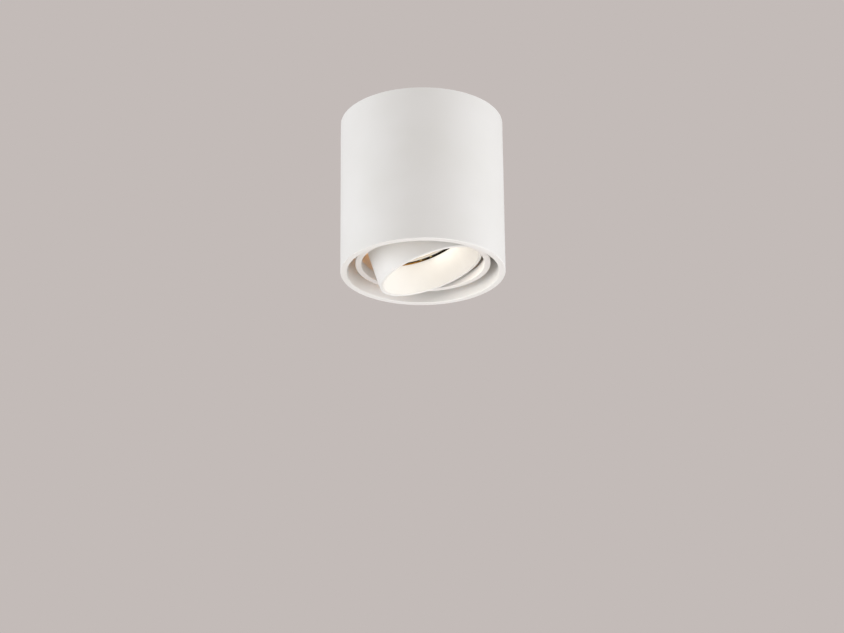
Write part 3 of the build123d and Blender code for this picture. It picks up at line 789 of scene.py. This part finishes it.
# ---------------------------------------------------------------- lamp front, spring and light
@dataclass
class LampPiece:
    """A round piece of the lamp's front, in the tilted tube's own frame."""

    head: Matrix

    def point(self, radius_mm: float, angle: float, height_mm: float) -> Vector:
        """Finds a point of the piece from its place on the lamp.

        Args:
            radius_mm: Distance from the tube's axis.
            angle: Angle round that axis, in radians.
            height_mm: Height above the tilt pivot, along that axis.

        Returns:
            The point, in metres, in the frame of the scene.
        """
        flat = Vector((radius_mm * math.cos(angle), radius_mm * math.sin(angle), height_mm))
        return self.head @ (flat * MM)


@dataclass
class LampOptic(LampPiece):
    """The lamp's moulded front: a lenslet over each chip, prism rings, and a plain flange."""

    chips: int = 8
    chip_circle_mm: float = 11.5
    lenslet_mm: float = 4.3
    crown_mm: float = 0.1  # depth of the highest moulded points behind the lamp's front plane
    floor_mm: float = 0.8
    prisms_from_mm: float = 16.3  # they reach out to the groove
    prism_pitch_mm: float = 0.86
    prism_mm: float = 0.5
    groove_mm: tuple[float, float] = (20.6, 21.2)
    boss_mm: float = 3.2
    clear_mm: float = 0.02  # gap to the lamp shell at the back and the side
    ring_step_mm: float = 0.215
    spokes: int = 320
    flange_glow: float = 0.3
    groove_glow: float = 0.12
    prism_glow: float = 0.86
    prism_fade: float = 0.2
    lenslet_glow: float = 0.5  # at the lenslet's edge, and its middle glows fully
    boss_glow: float = 0.4
    floor_glow: float = 0.28

    def relief(self, radius: float, angle: float) -> tuple[float, float]:
        """Works out the depth and glow of the optic's front at one point.

        Args:
            radius: Distance from the lamp's axis, in millimetres.
            angle: Angle round the axis, in radians.

        Returns:
            Depth behind the front plane in millimetres, and glow from 0 to 1.
        """
        if radius >= self.groove_mm[1]:
            return self.crown_mm, self.flange_glow
        if radius >= self.groove_mm[0]:
            return self.crown_mm + self.prism_mm, self.groove_glow
        if radius >= self.prisms_from_mm:
            share = ((radius - self.prisms_from_mm) / self.prism_pitch_mm) % 1.0
            return self.crown_mm + self.prism_mm * share, self.prism_glow - self.prism_fade * share
        step = 2 * math.pi / self.chips
        nearest = round(angle / step) * step
        across = math.hypot(
            radius * math.cos(angle) - self.chip_circle_mm * math.cos(nearest),
            radius * math.sin(angle) - self.chip_circle_mm * math.sin(nearest),
        )
        share = across / self.lenslet_mm
        if share < 1.0:
            depth = self.crown_mm + (self.floor_mm - self.crown_mm) * share**2
            return depth, self.lenslet_glow + (1 - self.lenslet_glow) * (1 - share**2) ** 2
        if radius < self.boss_mm:
            return self.floor_mm / 2, self.boss_glow
        return self.floor_mm, self.floor_glow

    def build(self, palette: Palette) -> bpy.types.Object:
        """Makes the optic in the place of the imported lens.

        Args:
            palette: The finishes.

        Returns:
            The optic's object.
        """
        away = self.head.inverted()
        local = [away @ vertex.co for vertex in bpy.data.objects["lamp_lens"].data.vertices]
        front = min(point.z for point in local) / MM
        back = max(point.z for point in local) / MM - self.clear_mm
        outer = max(math.hypot(point.x, point.y) for point in local) / MM - self.clear_mm
        optic = bmesh.new()
        glow = optic.verts.layers.float.new("glow")
        angles = [2 * math.pi * spoke / self.spokes for spoke in range(self.spokes)]
        count = round(outer / self.ring_step_mm)
        rows = []
        for ring in range(1, count + 1):
            radius = outer * ring / count
            row = []
            for angle in angles:
                depth, shine = self.relief(radius, angle)
                vertex = optic.verts.new(self.point(radius, angle, front + depth))
                vertex[glow] = shine
                row.append(vertex)
            rows.append(row)
        rear = [optic.verts.new(self.point(outer, angle, back)) for angle in angles]
        rows.append(rear)
        for inner, wider in zip(rows, rows[1:]):
            for spoke in range(self.spokes):
                after = (spoke + 1) % self.spokes
                optic.faces.new((inner[spoke], inner[after], wider[after], wider[spoke]))
        optic.faces.new(list(reversed(rows[0])))
        optic.faces.new(rear)
        bmesh.ops.recalc_face_normals(optic, faces=optic.faces)
        obj = mesh_object("lamp_optic", optic, palette[Finish.OPTIC])
        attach(obj, "spot_head")
        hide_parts("lamp_lens")
        return obj


@dataclass
class RetainingSpring(LampPiece):
    """The toothed spring that holds the lamp, with a rolled collar inside the cone's inner edge."""

    outer_mm: float = 30.03
    inner_mm: float = 24.42
    collar_mm: float = 0.2
    collar_low_mm: float = 1.4
    low_mm: float = 1.87
    high_mm: float = 2.33
    tip_mm: float = 23.43
    tip_round_mm: float = 0.25
    edge_mm: float = 0.05  # how far the spring's plain edge stands in from its collar
    bevel_mm: float = 0.03
    pairs: int = 8
    first_tooth_deg: float = 81.5
    pair_gap_deg: float = 15.0
    tooth_deg: float = 3.5
    shaded_side_deg: float = 20.0  # the collar is painted black there, as shade
    shade_reach_deg: float = 70.0  # how far to each side the painted shade reaches
    fade_deg: float = 18.0
    brown: float = 0.5  # tarnish of the collar away from the painted shade, from 0 bright to 1 black
    spokes: int = 720

    def tooth_share(self, angle_deg: float) -> float | None:
        """Finds how far across a tooth an angle lies.

        Args:
            angle_deg: Angle round the tube's axis.

        Returns:
            Place across the nearest tooth, from -1 to 1, or None between the teeth.
        """
        step = 360.0 / self.pairs
        for first in (self.first_tooth_deg, self.first_tooth_deg - self.pair_gap_deg):
            off = (angle_deg - first + step / 2) % step - step / 2
            if abs(off) <= self.tooth_deg / 2:
                return 2 * off / self.tooth_deg
        return None

    def tarnish_and_shade(self, angle_deg: float) -> float:
        """Works out how dark the collar is: black painted shade on one side, brown tarnish on the
        other.

        Args:
            angle_deg: Angle round the tube's axis.

        Returns:
            The tarnish with the painted shade, up to 1 for black.
        """
        # painted shade: the collar turns black towards its shaded side
        away = abs((angle_deg - self.shaded_side_deg + 180.0) % 360.0 - 180.0)
        painted_shade = min(max((self.shade_reach_deg - away) / self.fade_deg, 0.0), 1.0)
        return self.brown + (1.0 - self.brown) * painted_shade

    def profile(self, angle_deg: float) -> tuple[Triple, ...]:
        """Lists the corners of the spring's cross-section at an angle.

        Args:
            angle_deg: Angle round the tube's axis.

        Returns:
            Radius, height, and tarnish with painted shade of each corner, with bright metal on the
            teeth's tips.
        """
        share = self.tooth_share(angle_deg)
        tarnish_with_shade = self.tarnish_and_shade(angle_deg)
        if share is None:
            tip, shine = self.inner_mm - self.edge_mm, tarnish_with_shade
        else:
            tip, shine = self.tip_mm + self.tip_round_mm * share**4, 0.0
        return (
            (self.outer_mm, self.low_mm, tarnish_with_shade),
            (self.inner_mm + self.collar_mm, self.low_mm, tarnish_with_shade),
            (self.inner_mm + self.collar_mm, self.collar_low_mm, tarnish_with_shade),
            (self.inner_mm, self.collar_low_mm, tarnish_with_shade),
            (self.inner_mm, self.low_mm, tarnish_with_shade),
            (tip, self.low_mm + self.bevel_mm, shine),
            (tip, self.high_mm - self.bevel_mm, shine),
            (self.inner_mm, self.high_mm, tarnish_with_shade),
            (self.outer_mm, self.high_mm, tarnish_with_shade),
        )

    def build(self, palette: Palette) -> bpy.types.Object:
        """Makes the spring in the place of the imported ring.

        Args:
            palette: The finishes.

        Returns:
            The spring's object.
        """
        spring = bmesh.new()
        # this attribute holds the brown tarnish and the black painted shade
        tarnish_and_shade = spring.verts.layers.float.new("tarnish_and_shade")
        loops = []
        for spoke in range(self.spokes):
            angle_deg = 360.0 * spoke / self.spokes
            loop = []
            for radius, height, tarnish_with_shade in self.profile(angle_deg):
                vertex = spring.verts.new(self.point(radius, math.radians(angle_deg), height))
                vertex[tarnish_and_shade] = tarnish_with_shade
                loop.append(vertex)
            loops.append(loop)
        for loop, following in zip(loops, loops[1:] + loops[:1]):
            for k, corner in enumerate(loop):
                after = (k + 1) % len(loop)
                spring.faces.new((corner, loop[after], following[after], following[k]))
        bmesh.ops.recalc_face_normals(spring, faces=spring.faces)
        obj = mesh_object("lamp_retaining_spring", spring, palette[Finish.SPRING_BRASS])
        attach(obj, "spot_head")
        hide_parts("lamp_retaining_ring")
        return obj


@dataclass(frozen=True)
class LampLight:
    """One light of the lamp, in the tilted tube's own frame. It tilts with the tube."""

    name: str
    place_mm: Triple
    size_mm: float
    watts: float
    colour: str
    beam: bool = False  # a flat disc that shines out of the mouth, where the others shine all round

    def build(self, head: Matrix) -> None:
        """Makes the light.

        Args:
            head: Place and lean of the lamp tube.
        """
        data = bpy.data.lights.new(self.name, "AREA" if self.beam else "POINT")
        if self.beam:
            data.shape = "DISK"
            data.size = self.size_mm * MM
        else:
            data.shadow_soft_size = self.size_mm / 2 * MM
        data.energy = self.watts
        data.color = linear(self.colour)[:3]
        light = scene_object(self.name, data)
        light.matrix_world = head @ Matrix.Translation(Vector(self.place_mm) * MM)
        light.visible_camera = False
        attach(light, "spot_head")
        LOG.info("lit %s", self.name)


# ---------------------------------------------------------------- sub-assemblies
@dataclass
class SubAssembly:
    """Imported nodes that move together, and the finish of each."""

    frame: dict[str, Any]
    palette: Palette
    finishes: dict[str, Finish] = field(default_factory=dict)

    def build(self) -> None:
        """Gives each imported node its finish."""
        for node, finish in self.finishes.items():
            slots = self.frame["nodes"][node].data.materials
            slots.clear()
            slots.append(self.palette[finish])
            LOG.info("dressed %s as %s", node, finish.name)


@dataclass
class CeilingBase(SubAssembly):
    """The plate, housing and pivot that stay on the ceiling."""

    finishes: dict[str, Finish] = field(
        default_factory=lambda: {
            "base_plate": Finish.SHEET,
            "housing_shell": Finish.HOUSING,
            "housing_side_screws": Finish.COATED_SCREW,
            "pan_nipple": Finish.NICKEL,
            "cable_bush": Finish.NYLON,
            "pan_lock_nut": Finish.NICKEL,
            "pan_spring_washer": Finish.SPRING_STEEL,
            "pan_stop_rivet": Finish.SCREW,
        }
    )


@dataclass
class PanFrame(SubAssembly):
    """The yoke, trim ring and wiring that turn about the vertical axis."""

    finishes: dict[str, Finish] = field(
        default_factory=lambda: {
            "pan_friction_washer": Finish.NYLON,
            "yoke": Finish.SHEET,
            "trim_ring": Finish.RING,
            "yoke_leg_screws": Finish.SCREW,
            "terminal_block": Finish.BLOCK,
            "terminal_contacts": Finish.BRASS,
            "terminal_screws": Finish.SCREW,
            "earth_tag": Finish.BRASS,
            "earth_screw": Finish.SCREW,
        }
    )

    def leads(self, turn: float) -> list[Lead]:
        """Lists the three leads inside the housing. Their routes are those of the unturned yoke.

        Args:
            turn: Turn of the yoke at rest, in radians.

        Returns:
            The leads.
        """
        live = [
            (3.55, 26.58, -9.2),
            (10.5, 26.58, -9.2),
            (14.5, 28.5, -14.0),
            (14.5, 32.0, -21.0),
            (11.5, 33.0, -26.2),
            (4.5, 30.5, -29.4),
            (-4.0, 26.5, -30.2),
            (-11.0, 21.5, -29.0),
            (-15.34, 17.55, -25.51),
            (-15.34, 12.05, -25.51),
        ]
        neutral = [
            (3.55, 33.88, -9.2),
            (10.0, 33.88, -9.2),
            (14.0, 35.2, -14.0),
            (13.5, 36.0, -22.0),
            (9.5, 33.2, -30.4),
            (2.5, 28.9, -35.0),
            (-7.0, 26.6, -36.2),
            (-16.0, 23.6, -34.0),
            (-20.5, 20.5, -29.5),
            (-21.02, 16.55, -27.42),
            (-21.02, 12.05, -27.42),
        ]
        earth = [
            (3.55, 19.27, -9.2),
            (11.0, 19.27, -9.2),
            (15.0, 13.5, -9.6),
            (16.0, 5.0, -10.5),
            (16.8, -6.0, -11.0),
            (18.2, -15.0, -11.4),
            (18.2, -22.1, -11.65),
            (14.5, -26.7, -11.65),
            (9.05, -26.7, -11.65),
        ]
        return [
            Lead("lead_live", "sleeve_brown", Finish.SLEEVE_BROWN, live, turn, to_head=True),
            Lead("lead_neutral", "sleeve_blue", Finish.SLEEVE_BLUE, neutral, turn, to_head=True),
            Lead("lead_earth", "sleeve_green", Finish.SLEEVE_EARTH, earth, turn),
        ]

    def build(self) -> None:
        """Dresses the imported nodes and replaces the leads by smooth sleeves."""
        super().build()
        turn = rest_pose(self.frame["joints"])[0]
        for lead in self.leads(turn):
            sleeve = lead.build(self.palette)
            LOG.info("built %s", sleeve.name)


@dataclass
class SpotHead(SubAssembly):
    """The lamp tube with its cone, lamp and lampholder, which tilt together."""

    finishes: dict[str, Finish] = field(
        default_factory=lambda: {
            "spot_tube": Finish.TUBE,
            "tilt_screws": Finish.SCREW,
            "tilt_friction_washers": Finish.NYLON,
            "tilt_spring_washers": Finish.SPRING_STEEL,
            "reflector_cone": Finish.CONE,
            "lamp_shell": Finish.LAMP_SHELL,
            "lamp_led_board": Finish.LED_BOARD,
            "lamp_led_chips": Finish.PHOSPHOR,
            "lamp_driver_board": Finish.CIRCUIT,
            "lamp_base_cap": Finish.LAMP_CAP,
            "lamp_pins": Finish.NICKEL,
            "holder_body": Finish.STEATITE,
            "holder_contacts": Finish.BRASS,
            "holder_screws": Finish.SCREW,
            "holder_bridge": Finish.SHEET,
            "bridge_screws": Finish.SCREW,
        }
    )
    # the lamp's beam and its spill, and the warm light that its vents let out behind the tube
    lights: tuple[LampLight, ...] = (
        LampLight("lamp_beam", (12.0, 11.0, 1.6), 20.0, 0.0014, "#FFFBF2", beam=True),
        LampLight("lamp_spill", (0.0, 0.0, -15.5), 50.0, 0.0114, "#FFFBF4", beam=True),
        LampLight("vent_light_mid", (-3.0, 34.5, 30.0), 5.0, 0.0014, "#FFA420"),
        LampLight("vent_light_far", (-11.0, 33.0, 30.0), 5.0, 0.0018, "#FFA420"),
        LampLight("vent_light_left", (-18.5, 29.5, 30.0), 5.0, 0.0014, "#FFA420"),
        LampLight("vent_light_near", (-12.0, -34.0, 28.0), 5.0, 0.0034, "#FFE2B8"),
    )

    def build(self) -> None:
        """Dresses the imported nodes, replaces the plain lens and ring, and lights the lamp."""
        super().build()
        head = head_matrix(self.frame["joints"])
        for maker in (LampOptic(head), RetainingSpring(head)):
            piece = maker.build(self.palette)
            LOG.info("built %s", piece.name)
        for light in self.lights:
            light.build(head)


# ---------------------------------------------------------------- studio and camera
@dataclass(frozen=True)
class Softbox:
    """One soft area lamp that looks at the spotlight."""

    name: str
    place: Triple
    size: float
    watts: float
    colour: str

    def build(self, target: Vector) -> None:
        """Makes the lamp and turns it to the target.

        Args:
            target: The point that the lamp looks at.
        """
        data = bpy.data.lights.new(self.name, "AREA")
        data.shape = "SQUARE"
        data.size = self.size
        data.energy = self.watts
        data.color = linear(self.colour)[:3]
        lamp = scene_object(self.name, data)
        lamp.location = self.place
        away = Vector(self.place) - target
        lamp.rotation_euler = away.to_track_quat("Z", "Y").to_euler()
        lamp.visible_camera = False


@dataclass(frozen=True)
class Overhead:
    """Broad light from above, as from a large pale surface far away."""

    watts_per_m2: float = 0.7
    spread_deg: float = 70.0
    tip_deg: tuple[float, float] = (12.0, -8.0)

    def build(self) -> None:
        """Makes the light, tipped a little to the front and the left."""
        data = bpy.data.lights.new("soft_above", "SUN")
        data.energy = self.watts_per_m2
        data.angle = math.radians(self.spread_deg)
        lamp = scene_object("soft_above", data)
        lamp.rotation_euler = [math.radians(angle) for angle in (*self.tip_deg, 0.0)]


@dataclass
class Studio:
    """Plain pale surroundings: world, floor far below, and soft lamps."""

    backdrop: str = "#C3BBB8"
    floor: str = "#C9C2BF"
    floor_roughness: float = 0.9
    floor_sides: int = 96
    floor_z: float = -1.3
    floor_r: float = 6.0
    ambient: float = 0.495
    ambient_tint: str = "#FFFBF9"
    target: Vector = field(default_factory=lambda: Vector((0.0, 0.0, -0.05)))
    lamps: tuple[Softbox, ...] = (
        Softbox("soft_left", (-1.5, -0.2, -0.32), 1.0, 11.1, "#F4F9FF"),
        Softbox("soft_right", (1.5, -0.2, -0.25), 1.0, 6.5, "#FAFCFF"),
        Softbox("soft_right_low", (1.35, -0.25, -0.75), 1.0, 7.0, "#F5F9FF"),
        Softbox("soft_below", (0.0, -0.2, -1.2), 2.4, 11.4, "#FFFCF8"),
    )

    def world(self) -> None:
        """Lights from all round, and shows the backdrop to the camera and in reflections."""
        world = bpy.data.worlds.new("studio")
        bpy.context.scene.world = world
        world.use_nodes = True
        tree = world.node_tree
        tree.nodes.clear()
        rays = add_node(tree, "ShaderNodeLightPath").outputs
        shown = rays["Is Camera Ray"]
        for ray in ("Is Glossy Ray", "Is Transmission Ray"):
            either = {0: shown, 1: rays[ray]}
            shown = add_node(tree, "ShaderNodeMath", either, operation="MAXIMUM").outputs[0]
        lighting = {"Color": linear(self.ambient_tint), "Strength": self.ambient}
        light = add_node(tree, "ShaderNodeBackground", lighting).outputs[0]
        scenery = {"Color": linear(self.backdrop), "Strength": 1.0}
        view = add_node(tree, "ShaderNodeBackground", scenery).outputs[0]
        mix = add_node(tree, "ShaderNodeMixShader", {0: shown, 1: light, 2: view})
        add_node(tree, "ShaderNodeOutputWorld", {"Surface": mix.outputs[0]})

    def ground(self) -> None:
        """Lays the plain pale floor."""
        material, tree = new_material("pale_floor")
        inputs = {"Base Color": linear(self.floor), "Roughness": self.floor_roughness}
        finish_surface(tree, inputs)
        disc = bmesh.new()
        bmesh.ops.create_circle(
            disc, cap_ends=True, segments=self.floor_sides, radius=self.floor_r
        )
        floor = mesh_object("floor", disc, material)
        floor.location.z = self.floor_z

    def build(self) -> None:
        """Makes the world, the floor and the lamps."""
        self.world()
        self.ground()
        for lamp in self.lamps:
            lamp.build(self.target)
        Overhead().build()
        bpy.context.scene.view_settings.view_transform = "Standard"
        LOG.info("built the studio")


@dataclass
class PhotoCamera:
    """The camera at the photograph's viewing angle."""

    place: Triple = (-0.0008, -1.4202, -0.7286)
    pitch_deg: float = 23.072
    roll_deg: float = 0.532
    focal_px: float = 2676.4

    def build(self) -> None:
        """Makes the camera and sets it as the scene's."""
        data = bpy.data.cameras.new("photo_camera")
        data.sensor_width = SENSOR_MM
        data.lens = SENSOR_MM * self.focal_px / PHOTO_WIDTH_PX
        camera = scene_object("photo_camera", data)
        tipped = Matrix.Rotation(math.radians(90 + self.pitch_deg), 4, "X")
        rolled = Matrix.Rotation(math.radians(-self.roll_deg), 4, "Z")
        camera.matrix_world = Matrix.Translation(self.place) @ tipped @ rolled
        bpy.context.scene.camera = camera
        LOG.info("placed %s", camera.name)


def main() -> None:
    """Builds the sub-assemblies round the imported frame, then the studio and the camera."""
    logging.basicConfig(level=logging.INFO, format="%(name)s: %(message)s")
    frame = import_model()
    palette = Palette()
    CeilingBase(frame, palette).build()
    PanFrame(frame, palette).build()
    SpotHead(frame, palette).build()
    Studio().build()
    PhotoCamera().build()


if __name__ == "__main__":
    main()
